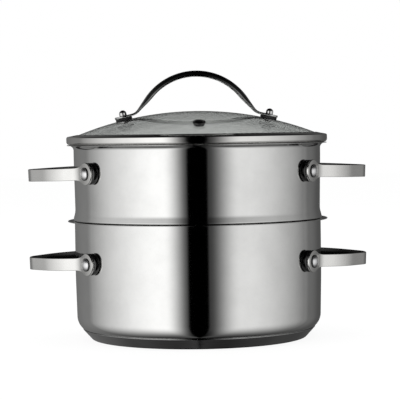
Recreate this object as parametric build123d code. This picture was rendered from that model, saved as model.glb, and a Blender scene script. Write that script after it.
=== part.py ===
from build123d import *
import math
import os

# Two-tier stovetop steamer: a pot, a steamer insert that nests in its mouth, and a domed glass lid.
# Lengths are in millimetres and angles in degrees. The pot stands on z = 0, its axis is Z,
# and the side handles and the lid's arch lie along X.

# Pot shell, drawn from one sheet
pot_bore_radius = 120.0
pot_sheet = 0.8
pot_height = 116.3
pot_rim_bend = 0.6
pot_heel_inset = 1.3
pot_heel_height = 62.0
pot_heel_bend = 600.0
pot_corner_bend = 15.7

# Rim flange, alike on the pot and the steamer
rim_radius = 127.5

# Encapsulated base under the pot
base_thickness = 7.2
cap_sheet = 0.6
cap_edge_angle = 52.0
cap_side_angle = 48.0
cap_foot_bend = 3.0
core_edge_gap = 1.2

# Steamer shell, drawn from one sheet, its lower part nested in the pot
steamer_sheet = 0.7
steamer_height = 73.7
steamer_shoulder_radius = 121.0
steamer_shoulder_drop = 12.0
steamer_waist_radius = 120.1
steamer_waist_height = 8.6
steamer_waist_bend = 20.0
steamer_bead_radius = 122.3
steamer_bead_bend = 1.0
steamer_rim_bend = 4.6
nest_depth = 24.0
nest_gap = 1.0
nest_corner_bend = 10.0
nest_step_bend = 0.8

# Steam holes in the steamer's floor
steam_hole_radius = 3.5
steam_hole_pitch = 17.5
steam_hole_margin = 8.0

# Gap between pieces that lift off each other, and between pieces that are fastened together
rest_gap = 0.3
seat_gap = 0.04
shank_gap = 0.05

# Side handles, bent from flat strap
strap_thickness = 2.4
strap_height = 11.8
handle_reach = 44.7
grip_half_length = 10.1
grip_bend = 20.0
handle_shoulder_setback = 25.0
handle_shoulder_half = 43.4
handle_shoulder_bend = 60.0
knee_distance = 13.5
knee_bend = 14.0
pad_angle = 31.6
pad_radius = 10.7
pad_neck_bend = 25.0
pad_neck_length = 26.0
pad_bend_room = 18.0
handle_droop = 2.0
pot_handle_height = 77.4
steamer_handle_height = 163.4

# Stand-offs and rivets that hold the side handles
standoff_length = 4.0
standoff_radius = 10.4
standoff_neck_radius = 9.4
standoff_neck_length = 1.0
rivet_shank_radius = 2.5
rivet_dome_radius = 5.4
rivet_dome_height = 2.4
rivet_foot_radius = 6.0
rivet_foot_thickness = 1.3
rivet_washer_radius = 6.3
rivet_washer_thickness = 1.0

# Glass dome of the lid
dome_radius = 315.0
dome_rise = 31.6
glass_thickness = 4.0
glass_edge_radius = 125.6
glass_edge_round = 1.0

# Steel rim rolled round the glass edge
band_sheet = 0.6
band_radius = 127.9
band_height = 7.6
band_top_bend = 1.8
band_foot_bend = 3.0
band_lip_radius = 117.2
band_seat_radius = 115.0
band_fold_bend = 0.9
locating_lip_depth = 6.6
locating_lip_gap = 0.7
locating_lip_width = 2.0

# Arched lid handle, pressed from strap with a crowned section that flattens into two tabs
arch_radius = 61.0
arch_rise = 71.3
arch_sweep = 56.0
arch_width = 18.0
arch_sheet = 2.0
arch_crown = 4.3
tab_crown = 0.1
arch_foot_bend = 10.0
arch_sections = 26
flat_start_share = 0.52
flat_end_share = 0.78
tab_bolt_radius = 70.8
tab_end_centre = 71.0
tab_end_radius = 9.2

# Fastenings of the lid handle
bolt_radius = 2.0
bolt_head_radius = 4.5
bolt_head_height = 2.8
bolt_slot_width = 1.2
bolt_slot_depth = 1.2
nut_radius = 3.6
nut_wall_height = 2.6
nut_height = 5.4
nut_bore_depth = 3.6
soft_washer_radius = 8.2
soft_washer_thickness = 2.2
soft_washer_round = 0.6
steel_washer_radius = 7.0
steel_washer_thickness = 1.0
glass_hole_radius = 3.2

# Steam vent eyelet in the glass
vent_radius = 87.5
vent_flange_radius = 6.2
vent_flange_thickness = 1.4
vent_bead_width = 1.6
vent_bead_height = 0.9
vent_tube_radius = 3.4
vent_bore_radius = 1.6
vent_foot_radius = 4.8
vent_foot_thickness = 0.8

overrun = 5.0


def shifted_left(points, distance):
    """Moves a run of straight lines to its left, and returns the points where the moved lines cross."""
    lines = []
    for start, end in zip(points, points[1:]):
        run = (Vector(*end) - Vector(*start)).normalized()
        lines.append((Vector(*start) + Vector(-run.Y, run.X) * distance, run))
    moved = [lines[0][0]]
    for (a, u), (b, v) in zip(lines, lines[1:]):
        gap = b - a
        moved.append(a + u * ((gap.X * v.Y - gap.Y * v.X) / (u.X * v.Y - u.Y * v.X)))
    run = lines[-1][1]
    moved.append(Vector(*points[-1]) + Vector(-run.Y, run.X) * distance)
    return [(p.X, p.Y) for p in moved]


def shifted_bends(points, bends, distance):
    """Bend radii on the left of a run: smaller where the run turns left, larger where it turns right."""
    radii = []
    for a, b, c, bend in zip(points, points[1:], points[2:], bends):
        turn = (b[0] - a[0]) * (c[1] - b[1]) - (b[1] - a[1]) * (c[0] - b[0])
        radii.append(bend - math.copysign(distance, turn))
    return radii


def sheet_section(points, bends, sheet, plane=Plane.XZ):
    """Section through bent sheet. The points follow one face, and the sheet lies to their left."""
    inner = shifted_left(points, sheet)
    with BuildSketch(plane) as section:
        with BuildLine():
            FilletPolyline(*points, radius=bends)
            FilletPolyline(*inner, radius=shifted_bends(points, bends, sheet))
            Line(points[0], inner[0])
            Line(points[-1], inner[-1])
        make_face()
    return section.sketch


def turned_sheet(points, bends, sheet):
    """Bent sheet turned round the Z axis."""
    return revolve(sheet_section(points, bends, sheet), axis=Axis.Z)


def turned_core(points, bends, shift):
    """Everything inside a shell's run up to its rim flange, with the run moved left by the shift."""
    run = shifted_left(points, shift)[:-1]
    radii = shifted_bends(points, bends, shift)[:-1]
    with BuildSketch(Plane.XZ) as section:
        with BuildLine():
            FilletPolyline(*run, radius=radii)
            Polyline(run[-1], (0, run[-1][1]), run[0])
        make_face()
    return revolve(section.sketch, axis=Axis.Z)


def turned_outline(points, rounded=()):
    """Solid of revolution of a closed outline of straight sides, with named corners rounded."""
    with BuildSketch(Plane.XZ) as section:
        with BuildLine():
            Polyline(*points, close=True)
        make_face()
        for place, bend in rounded:
            corner = section.vertices().sort_by_distance(Plane.XZ.from_local_coords(Vector(*place)))[0]
            fillet(corner, radius=bend)
    return revolve(section.sketch, axis=Axis.Z)


# Runs of the drawn shells

def pot_run():
    """Outer face of the pot shell: floor, heel, wall and the underside of the rim flange."""
    wall = pot_bore_radius + pot_sheet
    under_rim = pot_height - pot_sheet
    points = [(0, base_thickness), (wall - pot_heel_inset, base_thickness), (wall, pot_heel_height),
              (wall, under_rim), (rim_radius, under_rim)]
    return points, [pot_corner_bend, pot_heel_bend, pot_rim_bend]


def steamer_run():
    """Outer face of the steamer shell: nested floor and wall, step, cone, waist, wall and rim flange."""
    nest = pot_bore_radius - nest_gap
    seat = pot_height + rest_gap
    floor = pot_height - nest_depth
    under_rim = seat + steamer_height - steamer_sheet
    points = [(0, floor), (nest, floor), (nest, seat), (steamer_bead_radius, seat),
              (steamer_waist_radius, seat + steamer_waist_height),
              (steamer_shoulder_radius, under_rim - steamer_shoulder_drop),
              (steamer_shoulder_radius, under_rim), (rim_radius, under_rim)]
    bends = [nest_corner_bend, nest_step_bend, steamer_bead_bend, steamer_waist_bend,
             pot_heel_bend, steamer_rim_bend]
    return points, bends


steamer_rim_top = pot_height + rest_gap + steamer_height


# Pot

def make_pot_shell():
    return turned_sheet(*pot_run(), pot_sheet)


def heel_bend_centre():
    """Centre of the round corner between the pot's floor and wall, as radius and height."""
    height = base_thickness + pot_corner_bend
    foot = pot_bore_radius + pot_sheet - pot_heel_inset
    rise = pot_heel_height - base_thickness
    lean = math.atan2(pot_heel_inset, rise)
    wall = foot + pot_heel_inset * pot_corner_bend / rise
    return wall - pot_corner_bend / math.cos(lean), height


def make_base_cap():
    """Steel cup under the base: it stands on z = 0, and its edge closes on the shell's round corner."""
    centre, height = heel_bend_centre()
    reach = pot_corner_bend + seat_gap
    edge = math.radians(cap_edge_angle)
    side = math.radians(cap_side_angle)
    top = (centre + reach * math.cos(edge) + cap_sheet * math.sin(side),
           height - reach * math.sin(edge) - cap_sheet * math.cos(side))
    foot = (top[0] - top[1] / math.tan(side), 0)
    return turned_sheet([(0, 0), foot, top], [cap_foot_bend], cap_sheet)


def make_base_core():
    """Aluminium disc that spreads the heat, between the cup and the shell's floor."""
    radius = heel_bend_centre()[0] - core_edge_gap
    low = cap_sheet + seat_gap
    high = base_thickness - seat_gap
    return turned_outline([(0, low), (radius, low), (radius, high), (0, high)])


# Steamer

def steam_holes(floor):
    """One upright hole in the middle and rings of six, twelve and so on, as far out as the flat floor reaches."""
    flat = pot_bore_radius - nest_gap - nest_corner_bend - steam_hole_margin
    drill = Cylinder(steam_hole_radius, 2 * overrun)
    places = [(0, 0)]
    for ring in range(1, int(flat / steam_hole_pitch) + 1):
        for step in range(6 * ring):
            turn = math.radians(60 * step / ring)
            places.append((ring * steam_hole_pitch * math.cos(turn), ring * steam_hole_pitch * math.sin(turn)))
    return [Pos(x, y, floor) * drill for x, y in places]


def make_steamer_shell():
    points, bends = steamer_run()
    return turned_sheet(points, bends, steamer_sheet) - steam_holes(points[0][1])


# Side handles. One handle is made on the +X side with its middle on z = 0, then placed.

def pad_frame(wall_radius, side, above=0):
    """Plane on a pad: its Z points out of the wall, its X along the strap. Side is -1 or 1 in Y."""
    turn = math.radians(pad_angle)
    out = Vector(math.cos(turn), side * math.sin(turn), 0)
    along = Vector(math.sin(turn), -side * math.cos(turn), 0)
    return Plane(origin=out * (wall_radius + above), x_dir=along, z_dir=out)


def handle_run(wall_radius):
    """Outer face of the strap in plan, from behind one pad round the grip to behind the other."""
    tip = wall_radius + handle_reach
    half = []
    for side in (-1, 1):
        pad = pad_frame(wall_radius, side, standoff_length + strap_thickness)
        end = pad.origin - pad.x_dir * (pad_radius + overrun)
        knee = pad.origin + pad.x_dir * knee_distance
        half.append([(end.X, end.Y), (knee.X, knee.Y),
                     (tip - handle_shoulder_setback, side * handle_shoulder_half),
                     (tip, side * grip_half_length)])
    bends = [knee_bend, handle_shoulder_bend, grip_bend]
    return half[0] + half[1][::-1], bends + bends[::-1]


def pad_outline():
    """Block with the outline of a round pad that necks down to the height of the strap."""
    with BuildSketch() as outline:
        Circle(pad_radius)
        with Locations((pad_neck_length / 2, 0)):
            Rectangle(pad_neck_length, strap_height)
        necks = outline.vertices().filter_by(lambda v: 0 < v.X < pad_radius)
        fillet(necks, radius=pad_neck_bend)
    return extrude(outline.sketch, amount=pad_bend_room, both=True)


def rivet_drill(wall_radius, side):
    return pad_frame(wall_radius, side).location * Cylinder(rivet_shank_radius + shank_gap, 4 * overrun)


def make_strap(wall_radius):
    """Strap bent in plan, cut to the strap's height, with a round pad and a rivet hole at each end."""
    points, bends = handle_run(wall_radius)
    plan = sheet_section(points, bends, strap_thickness, Plane.XY)
    blank = extrude(plan, amount=pad_radius + overrun, both=True)
    pads = [pad_frame(wall_radius, side, standoff_length + strap_thickness) for side in (-1, 1)]
    reach = wall_radius + handle_reach
    kept = Pos(pads[0].origin.X + reach, 0, 0) * Box(2 * reach, 2 * reach, strap_height)
    for pad in pads:
        kept = kept + pad.location * pad_outline()
    return (blank & kept) - [rivet_drill(wall_radius, side) for side in (-1, 1)]


def make_standoff(wall_radius, side):
    """Round stand-off that narrows to a neck behind the pad. Its foot reaches into the wall, to be cut later."""
    bore = rivet_shank_radius + shank_gap
    top = standoff_length - seat_gap
    neck = top - standoff_neck_length
    taper = neck - (standoff_radius - standoff_neck_radius)
    outline = [(bore, -overrun), (standoff_radius, -overrun), (standoff_radius, taper),
               (standoff_neck_radius, neck), (standoff_neck_radius, top), (bore, top)]
    return pad_frame(wall_radius, side).location * turned_outline(outline)


def make_rivet_washer(wall_radius, side):
    frame = pad_frame(wall_radius, side, standoff_length + strap_thickness + seat_gap)
    high = rivet_washer_thickness
    bore = rivet_shank_radius + shank_gap
    outline = [(bore, 0), (rivet_washer_radius, 0), (rivet_washer_radius, high), (bore, high)]
    return frame.location * turned_outline(outline, [((rivet_washer_radius, high), high / 2)])


def make_rivet(wall_radius, side, sheet):
    """Rivet with a domed head outside the pad, and a shank that runs to the inside of the wall."""
    base = standoff_length + strap_thickness + rivet_washer_thickness + 2 * seat_gap
    top = base + rivet_dome_height
    dome = (rivet_dome_radius ** 2 + rivet_dome_height ** 2) / (2 * rivet_dome_height)
    end = -sheet - seat_gap - rivet_foot_thickness
    with BuildSketch(Plane.XZ) as section:
        with BuildLine():
            Polyline((0, top), (0, end), (rivet_shank_radius, end), (rivet_shank_radius, base),
                     (rivet_dome_radius, base))
            RadiusArc((rivet_dome_radius, base), (0, top), -dome)
        make_face()
    return pad_frame(wall_radius, side).location * revolve(section.sketch, axis=Axis.Z)


def make_rivet_foot(wall_radius, side, sheet):
    """Flat foot of a rivet. Its outer end reaches into the wall, to be cut later."""
    end = -sheet - seat_gap - rivet_foot_thickness
    outline = [(0, end), (rivet_foot_radius, end), (rivet_foot_radius, 0), (0, 0)]
    return pad_frame(wall_radius, side).location * turned_outline(outline)


def place_handle(solid, wall_radius, height, turn):
    """Tips a handle piece down about the line of its pads, lifts it to its height and turns it to its side."""
    pads = (wall_radius + standoff_length) * math.cos(math.radians(pad_angle))
    return Rot(0, 0, turn) * Pos(pads, 0, height) * Rot(0, handle_droop, 0) * Pos(-pads, 0, 0) * solid


def make_tier(run, sheet, height):
    """Handle pieces of one tier, fitted to its wall, and the drills for the wall's rivet holes."""
    wall = pot_bore_radius + pot_sheet
    outside = turned_core(*run, -seat_gap)
    inside = turned_core(*run, sheet + seat_gap)
    tier = {"left": [], "right": [], "standoffs_left": [], "standoffs_right": [],
            "washers": [], "rivets": [], "drills": []}
    for name, turn in (("right", 0), ("left", 180)):
        tier[name].append(place_handle(make_strap(wall), wall, height, turn))
        for side in (-1, 1):
            standoff = place_handle(make_standoff(wall, side), wall, height, turn)
            foot = place_handle(make_rivet_foot(wall, side, sheet), wall, height, turn)
            rivet = place_handle(make_rivet(wall, side, sheet), wall, height, turn)
            tier["standoffs_" + name].append(standoff - outside)
            tier["rivets"].append(rivet + (foot & inside))
            tier["washers"].append(place_handle(make_rivet_washer(wall, side), wall, height, turn))
            tier["drills"].append(place_handle(rivet_drill(wall, side), wall, height, turn))
    return tier


# Lid

lid_seat = steamer_rim_top + rest_gap
dome_centre = lid_seat + dome_rise - dome_radius


def dome_height(radius, depth=0):
    """Height of the glass's outer face, or of the sphere that lies some depth inside it, at a radius."""
    return dome_centre + math.sqrt((dome_radius - depth) ** 2 - radius ** 2)


def dome_frame(radius, turn):
    """Plane on the glass at a radius and a turn about Z. Its Z points out of the glass, its X away from the axis."""
    lean = math.degrees(math.asin(radius / dome_radius))
    return Rot(0, 0, turn) * Pos(0, 0, dome_centre) * Rot(0, lean, 0) * Pos(0, 0, dome_radius)


def bolt_frames():
    return [dome_frame(tab_bolt_radius, turn) for turn in (0, 180)]


def ball(radius):
    return Pos(0, 0, dome_centre) * Sphere(radius)


def make_lid_glass():
    """Domed glass, its two faces parts of one-centred spheres, with a ground edge and three holes."""
    edge = glass_edge_radius
    inner = dome_height(0, glass_thickness)
    with BuildSketch(Plane.XZ) as section:
        with BuildLine():
            RadiusArc((0, dome_height(0)), (edge, dome_height(edge)), dome_radius)
            Line((edge, dome_height(edge)), (edge, dome_height(edge, glass_thickness)))
            RadiusArc((edge, dome_height(edge, glass_thickness)), (0, inner), glass_thickness - dome_radius)
            Line((0, inner), (0, dome_height(0)))
        make_face()
        fillet(section.vertices().filter_by(lambda v: v.X > edge / 2), radius=glass_edge_round)
    glass = revolve(section.sketch, axis=Axis.Z)
    drill = Cylinder(glass_hole_radius, 4 * overrun)
    vent_drill = Cylinder(vent_tube_radius + shank_gap, 4 * overrun)
    return glass - [frame * drill for frame in bolt_frames()] - dome_frame(vent_radius, -90) * vent_drill


def make_lid_band():
    """Steel band round the glass: an inner fold under it, a double lip that locates in the steamer, and a rolled top."""
    under = glass_thickness + seat_gap + band_sheet
    lip = steamer_shoulder_radius - steamer_sheet - locating_lip_gap
    fold = lip - locating_lip_width
    lean = math.asin(band_lip_radius / dome_radius)
    points = [(band_seat_radius, dome_height(band_seat_radius, under)), (fold, dome_height(fold, under)),
              (fold, lid_seat - locating_lip_depth), (lip, lid_seat - locating_lip_depth),
              (lip, lid_seat), (band_radius, lid_seat), (band_radius, lid_seat + band_height),
              (band_lip_radius, dome_height(band_lip_radius) + (seat_gap + band_sheet) / math.cos(lean))]
    bends = [band_fold_bend, band_fold_bend, band_fold_bend, band_fold_bend, band_foot_bend, band_top_bend]
    return turned_sheet(points, bends, band_sheet)


def arch_run():
    """Crown line of the lid handle, from the middle of the arch down to the end of the tab on the +X side."""
    sweep = math.radians(arch_sweep)
    lean = math.asin(tab_bolt_radius / dome_radius)
    above = soft_washer_thickness + arch_sheet + tab_crown + 2 * seat_gap
    top = lid_seat + arch_rise
    foot = Vector(arch_radius * math.sin(sweep), top - arch_radius + arch_radius * math.cos(sweep))
    leg = Vector(math.cos(sweep), -math.sin(sweep))
    bolt = Vector(math.sin(lean), math.cos(lean)) * (dome_radius + above) + Vector(0, dome_centre)
    tab = Vector(math.cos(lean), -math.sin(lean))
    gap = bolt - foot
    knee = foot + leg * ((gap.X * tab.Y - gap.Y * tab.X) / (leg.X * tab.Y - leg.Y * tab.X))
    end = bolt + tab * (arch_width / 2 + overrun)
    reach = arch_foot_bend * math.tan((sweep - lean) / 2)
    with BuildLine(Plane.XZ) as run:
        RadiusArc((0, top), (foot.X, foot.Y), arch_radius)
        bend_start = knee - leg * reach
        bend_end = knee + tab * reach
        Line((foot.X, foot.Y), (bend_start.X, bend_start.Y))
        RadiusArc((bend_start.X, bend_start.Y), (bend_end.X, bend_end.Y), -arch_foot_bend)
        Line((bend_end.X, bend_end.Y), (end.X, end.Y))
    return run.wires()[0]


def arch_section(run, share, crown):
    """Crowned section of the strap, square to the run at a share of its length."""
    half = arch_width / 2
    plane = Plane(origin=run @ share, x_dir=(0, 1, 0), z_dir=run % share)
    with BuildSketch(plane) as section:
        with BuildLine():
            ThreePointArc((-half, -crown), (0, 0), (half, -crown))
            Line((half, -crown), (half, -crown - arch_sheet))
            ThreePointArc((half, -crown - arch_sheet), (0, -arch_sheet), (-half, -crown - arch_sheet))
            Line((-half, -crown - arch_sheet), (-half, -crown))
        make_face()
    return section.sketch


def make_lid_handle():
    """Arched handle: its crowned section flattens into a round-ended tab at each foot."""
    run = arch_run()
    sections = []
    for step in range(arch_sections + 1):
        share = step / arch_sections
        fade = min(1, max(0, (share - flat_start_share) / (flat_end_share - flat_start_share)))
        ease = fade * fade * (3 - 2 * fade)
        sections.append(arch_section(run, share, arch_crown + (tab_crown - arch_crown) * ease))
    half = loft(sections)
    arch = half + mirror(half, about=Plane.YZ)
    with BuildSketch() as plan:
        Rectangle(2 * tab_end_centre, arch_width + 2 * overrun)
        with Locations((-tab_end_centre, 0), (tab_end_centre, 0)):
            Circle(tab_end_radius)
    arch = arch & extrude(plan.sketch, amount=2 * dome_radius)
    drill = Cylinder(bolt_radius + shank_gap, 4 * overrun)
    return arch - [frame * drill for frame in bolt_frames()]


def make_bolt(frame):
    """Bolt from below: a flat head with a slot, and a shank that ends inside the dome nut."""
    head_top = -glass_thickness - soft_washer_thickness - steel_washer_thickness - 3 * seat_gap
    head_end = head_top - bolt_head_height
    top = tab_top() + nut_bore_depth - seat_gap
    outline = [(0, head_end), (bolt_head_radius, head_end), (bolt_head_radius, head_top),
               (bolt_radius, head_top), (bolt_radius, top), (0, top)]
    rounded = [((bolt_head_radius, head_end), bolt_head_height / 3)]
    slot = Pos(0, 0, head_end) * Box(4 * bolt_head_radius, bolt_slot_width, 2 * bolt_slot_depth)
    return frame * (turned_outline(outline, rounded) - slot)


def tab_top():
    """Height of the tab's upper face above the glass, along the bolt."""
    return soft_washer_thickness + arch_sheet + tab_crown + 2 * seat_gap


def make_nut(frame):
    """Dome nut with a blind bore."""
    base = tab_top() + seat_gap
    shoulder = base + nut_wall_height
    top = base + nut_height
    bore = bolt_radius + shank_gap
    cap = nut_height - nut_wall_height
    dome = (nut_radius ** 2 + cap ** 2) / (2 * cap)
    with BuildSketch(Plane.XZ) as section:
        with BuildLine():
            Polyline((0, top), (0, base + nut_bore_depth), (bore, base + nut_bore_depth), (bore, base),
                     (nut_radius, base), (nut_radius, shoulder))
            RadiusArc((nut_radius, shoulder), (0, top), -dome)
        make_face()
    return frame * revolve(section.sketch, axis=Axis.Z)


def make_outer_washer(frame):
    """Soft washer between tab and glass, its underside following the glass."""
    top = soft_washer_thickness + seat_gap
    bore = bolt_radius + shank_gap
    outline = [(bore, -overrun), (soft_washer_radius, -overrun), (soft_washer_radius, top), (bore, top)]
    blank = turned_outline(outline, [((soft_washer_radius, top), soft_washer_round)])
    return frame * blank - ball(dome_radius + seat_gap)


def make_inner_washer(frame):
    """Soft washer under the glass, its upper side following the glass."""
    end = -glass_thickness - soft_washer_thickness - seat_gap
    bore = bolt_radius + shank_gap
    outline = [(bore, end), (soft_washer_radius, end), (soft_washer_radius, 0), (bore, 0)]
    blank = turned_outline(outline, [((soft_washer_radius, end), soft_washer_round)])
    return (frame * blank) & ball(dome_radius - glass_thickness - seat_gap)


def make_bolt_washer(frame):
    high = -glass_thickness - soft_washer_thickness - 2 * seat_gap
    low = high - steel_washer_thickness
    bore = bolt_radius + shank_gap
    return frame * turned_outline([(bore, low), (steel_washer_radius, low), (steel_washer_radius, high), (bore, high)])


def make_vent_eyelet():
    """Eyelet in the front of the glass: a beaded flange outside, a tube through the glass and a rolled foot inside."""
    face = seat_gap
    rim = face + vent_flange_thickness
    bead = rim + vent_bead_height
    bead_outer = vent_flange_radius - vent_bead_width / 2
    bead_inner = bead_outer - vent_bead_width
    foot = -glass_thickness - 2 * seat_gap
    outline = [(vent_bore_radius, bead), (bead_inner, rim), (bead_inner, bead), (bead_outer, bead),
               (vent_flange_radius, rim), (vent_flange_radius, face), (vent_tube_radius, face),
               (vent_tube_radius, foot), (vent_foot_radius, foot), (vent_foot_radius, foot - vent_foot_thickness),
               (vent_bore_radius, foot - vent_foot_thickness)]
    return dome_frame(vent_radius, -90) * turned_outline(outline)


# Writing the parts

def write(name, solids):
    export_step(Compound(children=list(solids)) if len(solids) > 1 else solids[0], "parts/" + name + ".step")


def main():
    os.makedirs("parts", exist_ok=True)
    pot = make_tier(pot_run(), pot_sheet, pot_handle_height)
    steamer = make_tier(steamer_run(), steamer_sheet, steamer_handle_height)
    write("pot_shell", [make_pot_shell() - pot["drills"]])
    write("base_core", [make_base_core()])
    write("base_cap", [make_base_cap()])
    write("steamer_shell", [make_steamer_shell() - steamer["drills"]])
    for name, tier in (("pot", pot), ("steamer", steamer)):
        write(name + "_handle_left", tier["left"])
        write(name + "_handle_right", tier["right"])
        write(name + "_standoffs_left", tier["standoffs_left"])
        write(name + "_standoffs_right", tier["standoffs_right"])
        write(name + "_rivets", tier["rivets"])
        write(name + "_rivet_washers", tier["washers"])
    write("lid_glass", [make_lid_glass()])
    write("lid_band", [make_lid_band()])
    write("lid_handle", [make_lid_handle()])
    write("lid_bolts", [make_bolt(frame) for frame in bolt_frames()])
    write("lid_nuts", [make_nut(frame) for frame in bolt_frames()])
    write("lid_outer_washers", [make_outer_washer(frame) for frame in bolt_frames()])
    write("lid_inner_washers", [make_inner_washer(frame) for frame in bolt_frames()])
    write("lid_bolt_washers", [make_bolt_washer(frame) for frame in bolt_frames()])
    write("vent_eyelet", [make_vent_eyelet()])


main()
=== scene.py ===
import math

import bmesh
import bpy
import numpy as np
from mathutils import Matrix, Vector


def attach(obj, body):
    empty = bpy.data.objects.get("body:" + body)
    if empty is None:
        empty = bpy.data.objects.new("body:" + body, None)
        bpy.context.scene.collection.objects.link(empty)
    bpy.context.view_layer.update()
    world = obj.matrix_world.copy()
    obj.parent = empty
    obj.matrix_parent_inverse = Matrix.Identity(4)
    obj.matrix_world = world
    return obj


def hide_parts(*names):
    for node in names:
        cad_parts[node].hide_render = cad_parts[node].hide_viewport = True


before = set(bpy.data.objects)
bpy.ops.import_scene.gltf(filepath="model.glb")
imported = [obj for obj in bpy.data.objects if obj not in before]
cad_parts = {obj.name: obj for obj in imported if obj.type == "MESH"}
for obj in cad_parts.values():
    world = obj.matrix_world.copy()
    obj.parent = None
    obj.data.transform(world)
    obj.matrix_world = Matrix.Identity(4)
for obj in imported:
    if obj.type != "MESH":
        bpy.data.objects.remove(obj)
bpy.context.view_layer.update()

# Sizes of the steamer, in millimetres and degrees. The pot stands on z = 0 and its axis is Z.

pot_wall, pot_sheet, pot_height, rim_radius = 120.8, 0.8, 116.3, 127.5
wall_inset, flank_height, corner_bend, soft_bend = 1.3, 62.0, 15.7, 600.0
base_thickness, cap_sheet, corner_from_axis = 7.2, 0.6, 104.27
cap_edge_angle, cap_side_angle = 52.0, 48.0
steamer_sheet, steamer_seat, steamer_top = 0.7, 116.6, 190.3
nest_radius, nest_floor, shoulder_radius = 119.0, 92.3, 121.0
step_radius, waist_radius, cone_height, upright_height = 122.3, 120.1, 8.6, 12.0
lid_seat, dome_radius, glass_edge, glass = 190.6, 315.0, 125.6, 4.0
dome_rise = 31.6
dome_centre = lid_seat + dome_rise - dome_radius
seat_gap = 0.04
hole_radius, hole_pitch, hole_rings = 3.5, 17.5, 5
strap, strap_half, pad_radius, neck_bend = 2.4, 5.9, 10.7, 25.0
handle_reach, pad_angle, handle_droop, standoff = 44.7, 31.6, 2.0, 4.0
tier_heights = {"pot": 77.4, "steamer": 163.4}
knee_distance, knee_bend, shoulder_bend, grip_bend = 13.5, 14.0, 60.0, 20.0
shoulder_setback, shoulder_half, grip_half = 25.0, 43.4, 10.1
boss_radius, boss_neck = 10.4, 9.4
rivet_dome, rivet_rise, rivet_shank, rivet_ring, ring_sheet = 5.4, 2.4, 2.5, 6.3, 1.0
band_radius, band_height, band_sheet, band_inside_above, band_inside_below = 127.9, 7.6, 0.6, 117.2, 115.0
lip_depth, lip_width, lip_gap = 6.6, 2.0, 0.7
bolt_circle, soft_washer, arch_sheet, arch_half = 70.8, 2.2, 2.0, 9.0
arch_radius, arch_rise, arch_sweep, arch_crown, tab_crown = 61.0, 71.3, 56.0, 4.3, 0.1
arch_foot_bend, flat_start, flat_end, tab_length, tab_round, run_on = 10.0, 0.52, 0.78, 8.64, 9.2, 5.36
nut_radius, nut_wall, nut_height, nut_bore_depth = 3.6, 2.6, 5.4, 3.6
bolt_radius, bolt_bore, washer_radius, steel_washer = 2.0, 2.05, 8.2, 7.0
bolt_head, bolt_head_height = 4.5, 2.8
vent_circle = 87.5


# Outlines in a half plane: distance from the axis, height

def unit(v):
    return v / np.linalg.norm(v)


def bent(points, bends, steps=9):
    """Straight runs joined by arcs. At each corner the arc of the bend radius touches both runs, and its
    centre lies on the line that halves the corner. Two guard points on each run keep its shading straight."""
    points = [np.array(p, float) for p in points]
    runs = [[points[0]]]
    for a, b, c, bend in zip(points, points[1:], points[2:], bends):
        u, v = unit(a - b), unit(c - b)
        half = math.acos(np.clip(u @ v, -1, 1)) / 2
        centre = b + unit(u + v) * bend / math.sin(half)
        start = b + u * bend / math.tan(half)
        turn = math.copysign(math.pi - 2 * half, (b - a)[0] * (c - b)[1] - (b - a)[1] * (c - b)[0])
        t = np.linspace(0, turn, max(3, int(steps * abs(turn) / math.radians(70)) + 2))[:, None]
        arm = start - centre
        side = np.array([-arm[1], arm[0]])
        runs.append(centre + arm * np.cos(t) + side * np.sin(t))
    runs.append([points[-1]])
    out = [np.array(runs[0])]
    for before, after in zip(runs, runs[1:]):
        a, b = before[-1], after[0]
        guard = min(0.6, 0.12 * np.linalg.norm(b - a)) / np.linalg.norm(b - a)
        out.append(a + (b - a) * np.array([[guard], [1 - guard]]))
        out.append(np.array(after))
    return np.concatenate(out)


def shifted(points, bends, distance):
    """The same runs moved to their left by a distance, and the bends that keep the two runs parallel."""
    points = [np.array(p, float) for p in points]
    ways = [unit(b - a) for a, b in zip(points, points[1:])]
    lefts = [np.array([-w[1], w[0]]) * distance for w in ways]
    moved = [points[0] + lefts[0]]
    for p, w, x, m in zip(points[1:], ways, ways[1:], lefts[1:]):
        step = p + m - moved[-1]
        moved.append(moved[-1] + w * ((step[0] * x[1] - step[1] * x[0]) / (w[0] * x[1] - w[1] * x[0])))
    moved.append(points[-1] + lefts[-1])
    turns = [w[0] * x[1] - w[1] * x[0] for w, x in zip(ways, ways[1:])]
    return moved, [b - math.copysign(distance, t) for b, t in zip(bends, turns)]


def half_round(a, b, steps=7):
    """Half circle from a to b, bulging to the right of the way from a to b."""
    a, b = np.array(a, float), np.array(b, float)
    t = np.linspace(0, math.pi, steps)[1:-1, None]
    middle, arm = (a + b) / 2, (a - b) / 2
    side = np.array([-arm[1], arm[0]])
    return middle + arm * np.cos(t) + side * np.sin(t)


def sheet_loop(points, bends, sheet, steps=9):
    """Closed outline of bent sheet: one face, a rounded edge, the other face back, and a rounded edge
    where the sheet doesn't start on the axis."""
    points = [np.array(p, float) for p in points]
    points[-1] = points[-1] - unit(points[-1] - points[-2]) * sheet / 2
    on_axis = points[0][0] < 1e-9
    if not on_axis:
        points[0] = points[0] + unit(points[1] - points[0]) * sheet / 2
    face = bent(points, bends, steps)
    back = bent(*shifted(points, bends, sheet), steps)[::-1]
    parts = [face, half_round(face[-1], back[0]), back]
    if not on_axis:
        parts.append(half_round(back[-1], face[0]))
    return np.concatenate(parts)


def rounded_loop(points, bends, steps=5):
    """Closed outline of straight sides with every corner rounded by its own bend. The first point isn't a
    corner: it lies on the axis or in the middle of a side."""
    return bent([*points, points[0]], bends, steps)[:-1]


# Meshes

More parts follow.
